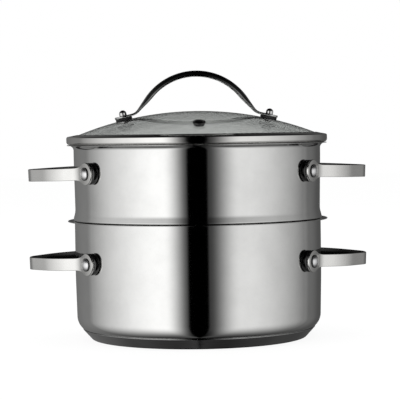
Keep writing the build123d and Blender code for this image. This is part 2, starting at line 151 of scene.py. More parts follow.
def mesh_piece(name, points, faces, body, stands_for, slot, finish, sharp=32):
    """Makes a piece from points in millimetres, welds points that coincide, and joins it to its body."""
    mesh = bpy.data.meshes.new(name)
    mesh.from_pydata((np.asarray(points) * 0.001).tolist(), [], np.asarray(faces).tolist())
    work = bmesh.new()
    work.from_mesh(mesh)
    bmesh.ops.remove_doubles(work, verts=work.verts, dist=2e-6)
    bmesh.ops.dissolve_degenerate(work, edges=work.edges, dist=1e-7)
    bmesh.ops.recalc_face_normals(work, faces=work.faces)
    work.to_mesh(mesh)
    work.free()
    mesh.shade_smooth()
    mesh.set_sharp_from_angle(angle=math.radians(sharp))
    mesh.materials.append(finish)
    piece = bpy.data.objects.new(name, mesh)
    bpy.context.scene.collection.objects.link(piece)
    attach(piece, body)
    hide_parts(*stands_for)
    return piece


def keep_facing(piece):
    """Stores which way each corner of each face looks, as an attribute of the piece's own mesh."""
    ways = np.empty(3 * len(piece.data.loops), dtype=np.float32)
    piece.data.corner_normals.foreach_get("vector", ways)
    piece.data.attributes.new("facing", "FLOAT_VECTOR", "CORNER").data.foreach_set("vector", ways)


def turned(outline, segments=256, place=None, closed=True):
    """Surface of revolution. Point i of the outline at turn t is (r cos t, r sin t, z). A place matrix, where
    one is given, then moves it. Returns points and quads."""
    outline = np.asarray(outline, float)
    t = np.arange(segments) * (2 * math.pi / segments)
    r, z = outline[:, :1], outline[:, 1:]
    points = np.stack([r * np.cos(t), r * np.sin(t), z + 0 * t], axis=-1).reshape(-1, 3)
    rows = np.arange(len(outline) if closed else len(outline) - 1)[:, None]
    below = rows * segments
    above = (rows + 1) % len(outline) * segments
    here, there = np.arange(segments), (np.arange(segments) + 1) % segments
    quads = np.stack([below + here, below + there, above + there, above + here], axis=-1).reshape(-1, 4)
    return (moved(points, place) if place is not None else points), quads


def moved(points, place):
    m = np.array(place)
    return points @ m[:3, :3].T + m[:3, 3]


def together(*shapes):
    """Several shapes' points and quads as one."""
    points, quads, count = [], [], 0
    for p, q in shapes:
        points.append(p)
        quads.append(np.asarray(q) + count)
        count += len(p)
    return np.concatenate(points), np.concatenate(quads)


def shift(x, y, z):
    return Matrix.Translation((x, y, z))


def turn(degrees, axis):
    return Matrix.Rotation(math.radians(degrees), 4, axis)


def loft_rings(rings):
    """Quads between neighbouring closed rings of a grid, rings x points x 3."""
    n, m = rings.shape[:2]
    rows, cols = np.arange(n - 1)[:, None] * m, np.arange(m)
    nexts = (cols + 1) % m
    quads = np.stack([rows + cols, rows + nexts, rows + m + nexts, rows + m + cols], axis=-1).reshape(-1, 4)
    return rings.reshape(-1, 3), quads


# Shaders

class Field:
    """A number that varies over a surface. Arithmetic on it adds Math nodes."""

    def __init__(self, look, socket):
        self.look, self.socket = look, socket

    def maths(self, operation, *values):
        inputs = dict(enumerate(v.socket if isinstance(v, Field) else v for v in values))
        return Field(self.look, self.look.node("ShaderNodeMath", {"operation": operation}, inputs))

    def __add__(self, other): return self.maths("ADD", self, other)
    def __radd__(self, other): return self.maths("ADD", other, self)
    def __sub__(self, other): return self.maths("SUBTRACT", self, other)
    def __rsub__(self, other): return self.maths("SUBTRACT", other, self)
    def __mul__(self, other): return self.maths("MULTIPLY", self, other)
    def __rmul__(self, other): return self.maths("MULTIPLY", other, self)
    def __truediv__(self, other): return self.maths("DIVIDE", self, other)
    def power(self, exponent): return self.maths("POWER", self, exponent)
    def absolute(self): return self.maths("ABSOLUTE", self)
    def at_least(self, other): return self.maths("MAXIMUM", self, other)
    def at_most(self, other): return self.maths("MINIMUM", self, other)

    def ramp(self, start, end, low=0.0, high=1.0):
        """Smooth step from low at start to high at end."""
        settings = {"interpolation_type": "SMOOTHSTEP"}
        inputs = {"Value": self.socket, "From Min": start, "From Max": end, "To Min": low, "To Max": high}
        return Field(self.look, self.look.node("ShaderNodeMapRange", settings, inputs))


class Look:
    """A node tree that is built up node by node."""

    def __init__(self, name, tree_owner=None):
        self.owner = tree_owner or bpy.data.materials.new(name)
        self.owner.use_nodes = True
        self.tree = self.owner.node_tree
        self.tree.nodes.clear()

    def node(self, kind, settings=None, inputs=None, output=0):
        """Adds a node with its settings and the values or links of its inputs. Returns one of its outputs, or
        the node itself where the output is None."""
        made = self.tree.nodes.new(kind)
        for key, value in (settings or {}).items():
            setattr(made, key, value)
        for key, value in (inputs or {}).items():
            value = value.socket if isinstance(value, Field) else value
            if isinstance(value, bpy.types.NodeSocket):
                self.tree.links.new(value, made.inputs[key])
            else:
                made.inputs[key].default_value = value
        return made if output is None else made.outputs[output]

    def place(self):
        """The three object coordinates, in metres."""
        split = self.node("ShaderNodeSeparateXYZ", None,
                          {0: self.node("ShaderNodeTexCoord", output="Object")}, None)
        return [Field(self, split.outputs[i]) for i in range(3)]

    def facing(self):
        """The three parts of the mesh's own attribute that says which way its faces look."""
        kept = self.node("ShaderNodeAttribute", {"attribute_name": "facing"}, output="Vector")
        split = self.node("ShaderNodeSeparateXYZ", None, {0: kept}, None)
        return [Field(self, split.outputs[i]) for i in range(3)]

    def vector(self, x, y, z):
        return self.node("ShaderNodeCombineXYZ", None, {0: x, 1: y, 2: z})

    def noise(self, vector, scale, detail=3.0, rough=0.5):
        inputs = {"Vector": vector, "Scale": scale, "Detail": detail, "Roughness": rough}
        return Field(self, self.node("ShaderNodeTexNoise", None, inputs))

    def between(self, share, first, second):
        """Colour that goes from the first to the second as the share goes from 0 to 1."""
        return self.node("ShaderNodeMix", {"data_type": "RGBA"},
                         {"Factor": share, 6: (*first, 1), 7: (*second, 1)}, 2)

    def bump(self, height, strength, distance):
        inputs = {"Strength": strength, "Distance": distance, "Height": height}
        return self.node("ShaderNodeBump", None, inputs)

    def finish(self, absorbs=None, **sockets):
        """Ends the tree with a surface. What the body of a clear piece absorbs is a colour and a density."""
        shader = self.node("ShaderNodeBsdfPrincipled", None,
                           {key.replace("_", " "): value for key, value in sockets.items()})
        ends = {"Surface": shader}
        if absorbs:
            ends["Volume"] = self.node("ShaderNodeVolumeAbsorption", None,
                                       {"Color": (*absorbs[0], 1), "Density": absorbs[1]})
        self.node("ShaderNodeOutputMaterial", None, ends, None)
        return self.owner


def polished_steel(name, light, dark, rough, smudge, lines, wave=0.0, inner=None, top=None):
    """Mirror-polished sheet: fine turning lines across Z, faint smudges in the gloss, and a slow waviness.
    Faces that look towards the axis, and faces that look up, can each have a darker colour of their own:
    painted reflection, a colour that stands for the dark things that they mirror in a room."""
    look = Look(name)
    x, y, z = look.place()
    fine = look.noise(look.vector(x * 14, y * 14, z * 2600), 1.0, 2.0)
    smudges = look.noise(look.vector(x, y, z), 38.0, 4.0, 0.6)
    slow = look.noise(look.vector(x, y, z * 0.6), 16.0, 1.0)
    tone = look.between(smudges.ramp(0.3, 0.75), light, dark)
    # The inner and top colours are painted reflection, laid into the base colour by which way a face looks.
    if inner or top:
        nx, ny, nz = look.facing()
    if inner:
        inward = (x * nx + y * ny) / (x * x + y * y).power(0.5) * -1.0
        tone = look.node("ShaderNodeMix", {"data_type": "RGBA"},
                         {"Factor": inward.ramp(0.25, 0.7), 6: tone, 7: (*inner, 1)}, 2)
    if top:
        tone = look.node("ShaderNodeMix", {"data_type": "RGBA"},
                         {"Factor": nz.ramp(0.15, 0.75), 6: tone, 7: (*top, 1)}, 2)
    gloss = rough + smudges.ramp(0.45, 0.8) * smudge + (fine - 0.5).absolute() * lines * 0.08
    normal = look.bump(fine * lines * 0.02 + slow * wave, 1.0, 0.001)
    return look.finish(Base_Color=tone, Metallic=1.0, Roughness=gloss, Normal=normal)


def smoked_glass(name):
    """Tempered glass with a faint grey tint, and a trace of haze where it was wiped."""
    look = Look(name)
    x, y, z = look.place()
    haze = look.noise(look.vector(x, y, z), 9.0, 2.0)
    tint = look.between(haze.ramp(0.3, 0.8), (0.97, 0.975, 0.97), (0.955, 0.96, 0.955))
    return look.finish(Base_Color=tint, Roughness=haze.ramp(0.3, 0.9) * 0.006, IOR=1.5,
                       Transmission_Weight=1.0, absorbs=((0.51, 0.535, 0.515), 100.0))


def soft_rubber(name):
    """Matt black moulded silicone with a very fine grain."""
    look = Look(name)
    x, y, z = look.place()
    grain = look.noise(look.vector(x, y, z), 2200.0, 2.0)
    dust = look.noise(look.vector(x, y, z), 160.0, 3.0)
    tone = look.between(dust.ramp(0.35, 0.8), (0.012, 0.012, 0.013), (0.03, 0.03, 0.032))
    return look.finish(Base_Color=tone, Roughness=0.52 + grain * 0.15, Normal=look.bump(grain, 0.25, 0.0001))


def rolled_aluminium(name):
    look = Look(name)
    x, y, z = look.place()
    grain = look.noise(look.vector(x * 60, y * 900, z * 60), 1.0, 2.0)
    tone = look.between(grain, (0.80, 0.80, 0.80), (0.68, 0.68, 0.69))
    return look.finish(Base_Color=tone, Metallic=1.0, Roughness=0.30 + grain * 0.15)


bright, bright_smudge = (0.86, 0.86, 0.855), (0.80, 0.80, 0.795)
pot_steel = polished_steel("pot_steel", bright, bright_smudge, 0.055, 0.03, 0.35, 0.02)
steamer_steel = polished_steel("steamer_steel", bright, bright_smudge, 0.055, 0.03, 0.35, 0.02)
base_steel = polished_steel("base_steel", (0.58, 0.58, 0.58), (0.50, 0.50, 0.50), 0.09, 0.04, 1.2)
band_steel = polished_steel("band_steel", (0.86, 0.855, 0.84), (0.80, 0.79, 0.78), 0.06, 0.03, 1.0)
# The strap's near-black inner colour and dark top colour are painted reflection on its inner and upper faces.
handle_steel = polished_steel("handle_steel", (0.91, 0.905, 0.89), (0.84, 0.835, 0.82), 0.16, 0.05, 0.6, 0.0,
                              (0.07, 0.07, 0.07), (0.10, 0.10, 0.10))
# arch_steel is the polished steel made darker (0.66 against 0.86): painted shade, for the dark reflections on
# the arch.
arch_steel = polished_steel("arch_steel", (0.66, 0.66, 0.66), (0.58, 0.58, 0.58), 0.07, 0.03, 0.0)
fitting_steel = polished_steel("fitting_steel", (0.80, 0.80, 0.80), (0.70, 0.70, 0.70), 0.14, 0.06, 0.0)
rivet_steel = polished_steel("rivet_steel", (0.93, 0.93, 0.94), (0.85, 0.85, 0.86), 0.27, 0.05, 0.0)
# dark_steel is a darkened copy of the polished steel: painted shade for the dark ring round each rivet head,
# and painted reflection on the vent eyelet.
dark_steel = polished_steel("dark_steel", (0.16, 0.16, 0.16), (0.12, 0.12, 0.12), 0.16, 0.06, 0.0)
# boss_steel, near black, is painted shade: the stand-offs are polished steel, drawn dark for the shadow and
# dark reflections between pad and wall.
boss_steel = polished_steel("boss_steel", (0.10, 0.10, 0.10), (0.07, 0.07, 0.07), 0.08, 0.03, 0.0)
lid_glass = smoked_glass("smoked_glass")
silicone = soft_rubber("silicone")
aluminium = rolled_aluminium("aluminium_core")
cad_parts["base_core"].data.materials.clear()
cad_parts["base_core"].data.materials.append(aluminium)


# Pot

def pot_shell():
    """Floor, round corner, flank that leans out very slightly, wall and rim flange of the pot's one sheet."""
    points = [(0, base_thickness), (pot_wall - wall_inset, base_thickness), (pot_wall, flank_height),
              (pot_wall, pot_height - pot_sheet), (rim_radius, pot_height - pot_sheet)]
    return turned(sheet_loop(points, [corner_bend, soft_bend, 0.6], pot_sheet, 24), 320)


def base_cap():
    """Cup under the base. Its edge ends on the shell's corner, at an angle below the corner's centre."""
    centre = np.array([corner_from_axis, base_thickness + corner_bend])
    edge, side = math.radians(cap_edge_angle), math.radians(cap_side_angle)
    out = np.array([math.cos(edge), -math.sin(edge)]) * (corner_bend + seat_gap)
    top = centre + out + np.array([math.sin(side), -math.cos(side)]) * cap_sheet
    foot = (top[0] - top[1] / math.tan(side), 0.0)
    return turned(sheet_loop([(0, 0), foot, top], [3.0], cap_sheet), 320)


mesh_piece("drawn_pot", *pot_shell(), "pot", ["pot_shell"], "pot_steel", pot_steel)
mesh_piece("base_cup", *base_cap(), "pot", ["base_cap"], "base_steel", base_steel)


# Steamer

def perforated_floor():
    """Flat floor with rings of holes. Each hole's cell is a sector of a ring. A point of the cell goes from
    the hole's edge to the sector's outline as s goes from 0 to 1, both faces and the hole's wall alike."""
    shapes = []
    for ring in range(hole_rings + 1):
        count = max(1, 6 * ring)
        if ring == 0:
            t = np.arange(360) * (2 * math.pi / 360)
            edge = 0.5 * hole_pitch * np.stack([np.cos(t), np.sin(t)], axis=-1)
            middle = np.zeros(2)
        else:
            arc = np.radians(np.linspace(-30.0 / ring, 30.0 / ring, 60 // ring + 1))
            near, far = (ring - 0.5) * hole_pitch, (ring + 0.5) * hole_pitch
            outer = far * np.stack([np.cos(arc), np.sin(arc)], axis=-1)
            inner = near * np.stack([np.cos(arc), np.sin(arc)], axis=-1)[::-1]
            s = np.linspace(0, 1, 7)[1:-1, None]
            edge = np.concatenate([outer, outer[-1] + (inner[0] - outer[-1]) * s,
                                   inner, inner[-1] + (outer[0] - inner[-1]) * s])
            middle = np.array([ring * hole_pitch, 0.0])
        way = edge - middle
        hole = middle + hole_radius * way / np.linalg.norm(way, axis=1, keepdims=True)
        n = len(edge)
        flat = np.stack([edge, hole, hole, edge])
        heights = np.array([nest_floor, nest_floor, nest_floor + steamer_sheet, nest_floor + steamer_sheet])
        rows = np.concatenate([flat, np.broadcast_to(heights[:, None, None], (4, n, 1))], axis=2)
        for k in range(count):
            c, w = math.cos(2 * math.pi * k / count), math.sin(2 * math.pi * k / count)
            spun = rows @ np.array([[c, w, 0], [-w, c, 0], [0, 0, 1]])
            shapes.append(loft_rings(spun))
    return together(*shapes)


def steamer_shell():
    """Nested floor's border and wall, step, cone, waist, wall and rim flange, welded to the holed floor."""
    under = steamer_top - steamer_sheet
    border = (hole_rings + 0.5) * hole_pitch
    points = [(border, nest_floor), (nest_radius, nest_floor), (nest_radius, steamer_seat),
              (step_radius, steamer_seat), (waist_radius, steamer_seat + cone_height),
              (shoulder_radius, under - upright_height), (shoulder_radius, under),
              (rim_radius - steamer_sheet / 2, under)]
    bends = [10.0, 0.8, 1.0, 20.0, soft_bend, 4.6]
    face = bent(points, bends, 14)
    back = bent(*shifted(points, bends, steamer_sheet), 14)[::-1]
    chain = np.concatenate([face, half_round(face[-1], back[0]), back])
    return together(turned(chain, 360, closed=False), perforated_floor())


mesh_piece("drawn_steamer", *steamer_shell(), "steamer", ["steamer_shell"], "steamer_steel", steamer_steel)


# Side handles

def pad_frame(side, above):
    """Matrix of a pad: its Z points out of the wall, its X along the strap."""
    a = math.radians(pad_angle)
    out = Vector((math.cos(a), side * math.sin(a), 0))
    along = Vector((math.sin(a), -side * math.cos(a), 0))
    across = out.cross(along)
    m = Matrix((along, across, out)).transposed().to_4x4()
    m.translation = out * (pot_wall + above)
    return m


def on_tier(tier, turned_to):
    """Tips a handle piece down about the line of its pads, lifts it to its tier and turns it to its side."""
    pads = (pot_wall + standoff) * math.cos(math.radians(pad_angle))
    lifted = shift(pads, 0, tier_heights[tier]) @ turn(handle_droop, "Y") @ shift(-pads, 0, 0)
    return turn(turned_to, "Z") @ lifted


def strap_path():
    """Outer face of the strap in plan, from the middle of one pad to that of the other, in even steps."""
    tip = pot_wall + handle_reach
    half = []
    for side in (-1, 1):
        m = pad_frame(side, standoff + strap)
        half.append([m @ Vector((0, 0, 0)), m @ Vector((knee_distance, 0, 0)),
                     Vector((tip - shoulder_setback, side * shoulder_half, 0)),
                     Vector((tip, side * grip_half, 0))])
    points = [(p.x, p.y) for p in half[0] + half[1][::-1]]
    bends = [knee_bend, shoulder_bend, grip_bend]
    path = bent(points, bends + bends[::-1], 24)
    walked = np.concatenate([[0], np.cumsum(np.linalg.norm(np.diff(path, axis=0), axis=1))])
    even = np.linspace(0, walked[-1], 240)
    return np.stack([np.interp(even, walked, path[:, i]) for i in (0, 1)], axis=-1)


def half_height(s, inset):
    """Half of the strap's height at s along the pad: a circle, then a concave neck that touches both the
    circle and the strap's edge, then the strap. The inset draws the whole outline in."""
    r, h, neck = pad_radius - inset, strap_half - inset, neck_bend + inset
    end = math.sqrt((r + neck) ** 2 - (h + neck) ** 2)
    start = end * r / (r + neck)
    circle = np.sqrt(np.clip(r * r - s * s, 0, None))
    curve = h + neck - np.sqrt(np.clip(neck * neck - (end - s) ** 2, 0, None))
    return np.where(s < start, circle, np.where(s < end, curve, h))


def strap_handle():
    """Strap with a round pad at each end. Its layers go from the outer face to the inner one, and the first
    and last are drawn in, so that the edges are rounded."""
    soft = 0.5
    t = np.linspace(0, math.pi / 2, 5)
    insets = np.concatenate([soft * (1 - np.sin(t)), soft * (1 - np.cos(t))])
    depths = np.concatenate([soft * (1 - np.cos(t)), strap - soft * (1 - np.sin(t))])
    path = strap_path()
    ways = np.gradient(path, axis=0)
    ways /= np.linalg.norm(ways, axis=1, keepdims=True)
    outs = np.stack([ways[:, 1], -ways[:, 0]], axis=-1)
    ends = [np.array(pad_frame(side, standoff + strap)) for side in (-1, 1)]
    round_t = np.linspace(0, math.pi / 2, 20)[:-1, None]
    near = np.linalg.norm(path - ends[0][:2, 3], axis=1) < np.linalg.norm(path - ends[1][:2, 3], axis=1)
    along = np.where(near, (path - ends[0][:2, 3]) @ ends[0][:2, 0], (path - ends[1][:2, 3]) @ ends[1][:2, 0])
    loops = []
    for inset, depth in zip(insets, depths):
        r = pad_radius - inset
        first = ends[0][:2, 3] - r * np.cos(round_t) * ends[0][:2, 0]
        last = (ends[1][:2, 3] - r * np.cos(round_t) * ends[1][:2, 0])[::-1]
        line = np.concatenate([first, path, last])
        out = np.concatenate([np.repeat(outs[:1], len(first), 0), outs, np.repeat(outs[-1:], len(last), 0)])
        end_up = r * np.sin(round_t[:, 0])
        up = np.concatenate([end_up, half_height(along, inset), end_up[::-1]])
        loops.append(np.concatenate([line - out * depth, up[:, None]], axis=1))
    upper = np.stack(loops, axis=1)
    lower = upper[:, ::-1] * np.array([1, 1, -1])
    return loft_rings(np.concatenate([upper, lower], axis=1))


def lathe_part(outline, bends, place, segments=64):
    return turned(rounded_loop(outline, bends), segments, place)


def standoff_shape(place):
    """Round stand-off that narrows to a neck behind the pad. Its foot follows the wall's cylinder: at x along
    the wall, the foot lies deeper by the wall's radius less the root of its square less x squared."""
    top = standoff - seat_gap
    outline = [(6.0, top), (boss_neck - 0.2, top), (boss_neck, top - 0.2), (boss_neck, top - 1.0),
               (boss_radius, top - 2.0), (boss_radius, 0.0), (6.0, 0.0)]
    chain = bent(outline, [0.1, 0.1, 0.2, 0.2, 0.05], 4)
    points, quads = turned(chain, 96, closed=False)
    foot = points[:, 2] < 0.2
    x = points[:, 0]
    fall = np.sqrt(pot_wall ** 2 - x ** 2) - pot_wall + 0.05
    points[:, 2] = np.where(foot, points[:, 2] + fall, points[:, 2])
    return moved(points, place), quads


def rivet_washer_shape(place):
    low = standoff + strap + seat_gap
    high, bore = low + ring_sheet, rivet_shank + 0.1
    outline = [(bore, low + 0.5), (bore, low), (rivet_ring, low), (rivet_ring, high), (bore, high)]
    return lathe_part(outline, [0.1, 0.2, 0.45, 0.1], place)


def rivet_shape(place):
    """Domed head, shank and flat foot of a rivet, turned from the axis to the axis."""
    low = standoff + strap + ring_sheet + 2 * seat_gap
    radius = (rivet_dome ** 2 + rivet_rise ** 2) / (2 * rivet_rise)
    t = np.linspace(0, math.asin(rivet_dome / radius) * 0.97, 14)
    dome = np.stack([radius * np.sin(t), low + rivet_rise - radius + radius * np.cos(t)], axis=-1)
    foot = -pot_sheet - seat_gap
    rest = np.array([(5.36, low + 0.06), (5.3, low), (rivet_shank, low), (rivet_shank, foot - 0.15),
                     (5.9, foot - 0.25), (6.0, foot - 0.5), (6.0, foot - 1.0), (5.7, foot - 1.3),
                     (0.0, foot - 1.3)])
    return turned(np.concatenate([dome, rest]), 64, place, closed=False)


for tier in ("pot", "steamer"):
    rivets, washers = [], []
    for side_name, turned_to in (("right", 0), ("left", 180)):
        set_down = on_tier(tier, turned_to)
        points, quads = strap_handle()
        # The facing attribute drives the strap's painted reflection: darker inner and upper faces.
        keep_facing(mesh_piece(f"{tier}_strap_{side_name}", moved(points, set_down), quads, tier,
                               [f"{tier}_handle_{side_name}"], "handle_steel", handle_steel))
        spots = [set_down @ pad_frame(side, 0) for side in (-1, 1)]
        # The stand-offs take boss_steel: painted shade between pad and wall.
        mesh_piece(f"{tier}_bosses_{side_name}", *together(*map(standoff_shape, spots)), tier,
                   [f"{tier}_standoffs_{side_name}"], "standoff_steel", boss_steel)
        rivets += map(rivet_shape, spots)
        washers += map(rivet_washer_shape, spots)
    mesh_piece(f"{tier}_domed_rivets", *together(*rivets), tier, [f"{tier}_rivets"],
               "rivet_steel", rivet_steel)
    # The rivet rings take dark_steel: painted shade round each rivet head.
    mesh_piece(f"{tier}_rivet_rings", *together(*washers), tier, [f"{tier}_rivet_washers"],
               "rivet_steel", dark_steel)


# Lid

def dome_height(radius, depth=0.0):
    return dome_centre + np.sqrt((dome_radius - depth) ** 2 - np.square(radius))


def dome_frame(radius, turned_to):
    lean = math.degrees(math.asin(radius / dome_radius))
    return turn(turned_to, "Z") @ shift(0, 0, dome_centre) @ turn(lean, "Y") @ shift(0, 0, dome_radius)


def glass_dome():
    """Two spheres with one centre, joined by a ground edge with rounded corners."""
    r = np.linspace(0, 124.7, 100)
    top = np.stack([r, dome_height(r)], axis=-1)
    under = np.stack([r, dome_height(r, glass)], axis=-1)[::-1]
    high, low = dome_height(glass_edge), dome_height(glass_edge, glass)
    edge = np.array([(125.2, dome_height(125.2) - 0.06), (125.5, high - 0.5),
                     (glass_edge, high - 1.0), (glass_edge, low + 0.8), (125.45, low + 0.4),
                     (125.1, dome_height(125.1, glass) + 0.05)])
    return turned(np.concatenate([top, edge, under]), 448, closed=False)


def glass_band():
    """Band round the glass: inner fold, double locating lip, foot, wall and rolled top."""
    under = glass + seat_gap + band_sheet
    lip = shoulder_radius - steamer_sheet - lip_gap
    fold = lip - lip_width
    lean = math.asin(band_inside_above / dome_radius)
    points = [(band_inside_below, dome_height(band_inside_below, under)), (fold, dome_height(fold, under)),
              (fold, lid_seat - lip_depth), (lip, lid_seat - lip_depth), (lip, lid_seat),
              (band_radius, lid_seat), (band_radius, lid_seat + band_height),
              (band_inside_above, dome_height(band_inside_above) + (seat_gap + band_sheet) / math.cos(lean))]
    return turned(sheet_loop(points, [0.9, 0.9, 0.9, 0.9, 3.0, 1.8], band_sheet, 14), 320)


def tab_top():
    """Height of the tab's upper face above the glass, along the bolt."""
    return soft_washer + arch_sheet + tab_crown + 2 * seat_gap


def arch_path():
    """Crown line of the handle from the middle to the tab's end: an arc, a straight leg, a concave bend and
    a tab along the glass, in even steps. Returned with its directions, the share walked of a line that runs
    on past the tab's end, and the half width."""
    sweep, lean = math.radians(arch_sweep), math.asin(bolt_circle / dome_radius)
    top = lid_seat + arch_rise
    t = np.linspace(0, sweep, 60)[:, None]
    arc = np.concatenate([arch_radius * np.sin(t), top - arch_radius + arch_radius * np.cos(t)], axis=1)
    foot, leg = arc[-1], np.array([math.cos(sweep), -math.sin(sweep)])
    bolt = np.array([math.sin(lean), math.cos(lean)]) * (dome_radius + tab_top()) + np.array([0, dome_centre])
    tab = np.array([math.cos(lean), -math.sin(lean)])
    gap = bolt - foot
    knee = foot + leg * ((gap[0] * tab[1] - gap[1] * tab[0]) / (leg[0] * tab[1] - leg[1] * tab[0]))
    end = bolt + tab * tab_length
    legs = bent([foot, knee, end], [arch_foot_bend], 30)
    path = np.concatenate([arc[:-1], legs])
    walked = np.concatenate([[0], np.cumsum(np.linalg.norm(np.diff(path, axis=0), axis=1))])
    tail = np.linspace(0, math.pi / 2, 16)
    straight = walked[-1] - tab_round
    even = np.concatenate([np.linspace(0, straight, 110)[:-1], straight + tab_round * np.sin(tail)])
    line = np.stack([np.interp(even, walked, path[:, i]) for i in (0, 1)], axis=-1)
    steps = np.linspace(0, walked[-1], 800)
    ways = np.gradient(np.stack([np.interp(steps, walked, path[:, i]) for i in (0, 1)], axis=-1), axis=0)
    ways /= np.linalg.norm(ways, axis=1, keepdims=True)
    way = np.stack([np.interp(even, steps, ways[:, i]) for i in (0, 1)], axis=-1)
    share = even / (walked[-1] + run_on)
    half = np.concatenate([np.full(109, arch_half), arch_half * np.cos(tail)])
    return line, way, share, half


def lid_arch():
    """Crowned strap. Across it, the crown falls from the middle as a circle's arc does; along it, the crown
    fades to a flat tab. The edges are rounded, and the tab's end is a half circle in plan."""
    line, way, share, half = arch_path()
    fade = np.clip((share - flat_start) / (flat_end - flat_start), 0, 1)
    crown = arch_crown + (tab_crown - arch_crown) * fade * fade * (3 - 2 * fade)
    across = np.sin(np.linspace(-1, 1, 25) * math.pi / 2)
    tip = np.linspace(-math.pi / 2, math.pi / 2, 9)[1:-1]
    edge = 0.5 / arch_half  # share of the half width that each rounded edge takes
    w = np.concatenate([across * (1 - edge), 1 - edge + edge * np.cos(tip),
                        -across * (1 - edge), -1 + edge - edge * np.cos(tip)])
    depth = np.concatenate([0 * across, arch_sheet / 2 + arch_sheet / 2 * np.sin(tip),
                            0 * across + arch_sheet, arch_sheet / 2 - arch_sheet / 2 * np.sin(tip)])
    radius = (arch_half ** 2 + crown ** 2) / (2 * crown)
    drop = radius[:, None] - np.sqrt(radius[:, None] ** 2 - (w * arch_half) ** 2)
    out = np.stack([-way[:, 1], way[:, 0]], axis=-1)
    fall = (drop + depth)[:, :, None]
    flat = line[:, None, :] - out[:, None, :] * fall
    y = (half[:, None] * w)[:, :, None]
    rings = np.concatenate([flat[:, :, :1], y, flat[:, :, 1:]], axis=2)
    other = rings[::-1] * np.array([-1, 1, 1])
    return loft_rings(np.concatenate([other[:-1], rings]))


def dome_nut(place):
    low = tab_top() + seat_gap
    rise = nut_height - nut_wall
    radius = (nut_radius ** 2 + rise ** 2) / (2 * rise)
    t = np.linspace(0, math.asin(nut_radius / radius), 14)[:-1]
    cap = np.stack([radius * np.sin(t), low + nut_height - radius + radius * np.cos(t)], axis=-1)
    rest = bent([(nut_radius, low + nut_wall), (nut_radius, low), (bolt_bore, low),
                 (bolt_bore, low + nut_bore_depth), (0.0, low + nut_bore_depth)], [0.3, 0.1, 0.1], 5)
    return turned(np.concatenate([cap, rest]), 64, place, closed=False)


def outer_soft_washer(place):
    """Soft washer under the tab. Its underside follows the glass: it falls by the square of the radius over
    twice the dome's."""
    top = soft_washer + seat_gap
    chain = bent([(bolt_bore, 1.0), (bolt_bore, top), (washer_radius, top), (washer_radius, 0.0),
                  (bolt_bore, 0.0)], [0.1, 0.6, 0.3], 6)
    chain[:, 1] -= np.where(chain[:, 1] < 0.7, np.square(chain[:, 0]) / (2 * dome_radius) - seat_gap, 0)
    return turned(chain, 96, place)


def inner_soft_washer(place):
    low = -glass - soft_washer - seat_gap
    outline = [(bolt_bore, low + 1.0), (bolt_bore, -glass - 0.06), (washer_radius, -glass - 0.16),
               (washer_radius, low), (bolt_bore, low)]
    return lathe_part(outline, [0.1, 0.3, 0.6, 0.1], place, 96)


def bolt_ring(place):
    high = -glass - soft_washer - 2 * seat_gap
    low = high - ring_sheet
    outline = [(bolt_bore, high - 0.5), (bolt_bore, high), (steel_washer, high), (steel_washer, low),
               (bolt_bore, low)]
    return lathe_part(outline, [0.1, 0.3, 0.3, 0.1], place)


def lid_bolt(place):
    """Flat head, rounded below, and a shank that ends in the dome nut."""
    high = -glass - soft_washer - ring_sheet - 3 * seat_gap
    top = tab_top() + 3.5
    outline = [(0.0, top), (bolt_radius, top), (bolt_radius, high), (bolt_head, high),
               (bolt_head, high - bolt_head_height), (0.0, high - bolt_head_height)]
    return turned(bent(outline, [0.3, 0.1, 0.15, 0.9], 5), 64, place, closed=False)


def vent_eyelet(place):
    """Beaded flange, tube through the glass and rolled foot, as one closed outline round the bore."""
    low, foot = seat_gap, -glass - 0.1
    outline = [(1.6, -1.0), (1.6, foot - 0.8), (4.8, foot - 0.8), (4.8, foot), (3.4, foot), (3.4, low),
               (6.2, low), (6.2, low + 1.4), (5.2, low + 2.3), (3.9, low + 2.3), (3.3, low + 1.3),
               (1.6, low + 2.0), (1.6, -1.0)]
    bends = [0.3, 0.3, 0.1, 0.1, 0.1, 0.5, 0.5, 0.5, 0.4, 0.4, 0.25]
    return turned(bent(outline, bends, 5)[:-1], 96, place)


bolts = [dome_frame(bolt_circle, 0), dome_frame(bolt_circle, 180)]
mesh_piece("dome_glass", *glass_dome(), "lid", ["lid_glass"], "smoked_glass", lid_glass)
mesh_piece("rolled_band", *glass_band(), "lid", ["lid_band"], "band_steel", band_steel)
mesh_piece("arched_handle", *lid_arch(), "lid", ["lid_handle"], "arch_steel", arch_steel, 40)
for name, shape, node, slot, finish in (
        ("dome_nuts", dome_nut, "lid_nuts", "nut_steel", fitting_steel),
        ("tab_washers", outer_soft_washer, "lid_outer_washers", "silicone", silicone),
        ("glass_washers", inner_soft_washer, "lid_inner_washers", "silicone", silicone),
        ("bolt_rings", bolt_ring, "lid_bolt_washers", "fastener_steel", fitting_steel),
        ("arch_bolts", lid_bolt, "lid_bolts", "fastener_steel", fitting_steel)):
    mesh_piece(name, *together(*map(shape, bolts)), "lid", [node], slot, finish)
# The eyelet takes dark_steel: painted reflection of dark surroundings.
mesh_piece("steam_eyelet", *vent_eyelet(dome_frame(vent_circle, -90)), "lid", ["vent_eyelet"],
           "eyelet_steel", dark_steel)


# Camera, in metres and degrees. It stands in front, a little to the left, and looks slightly down.

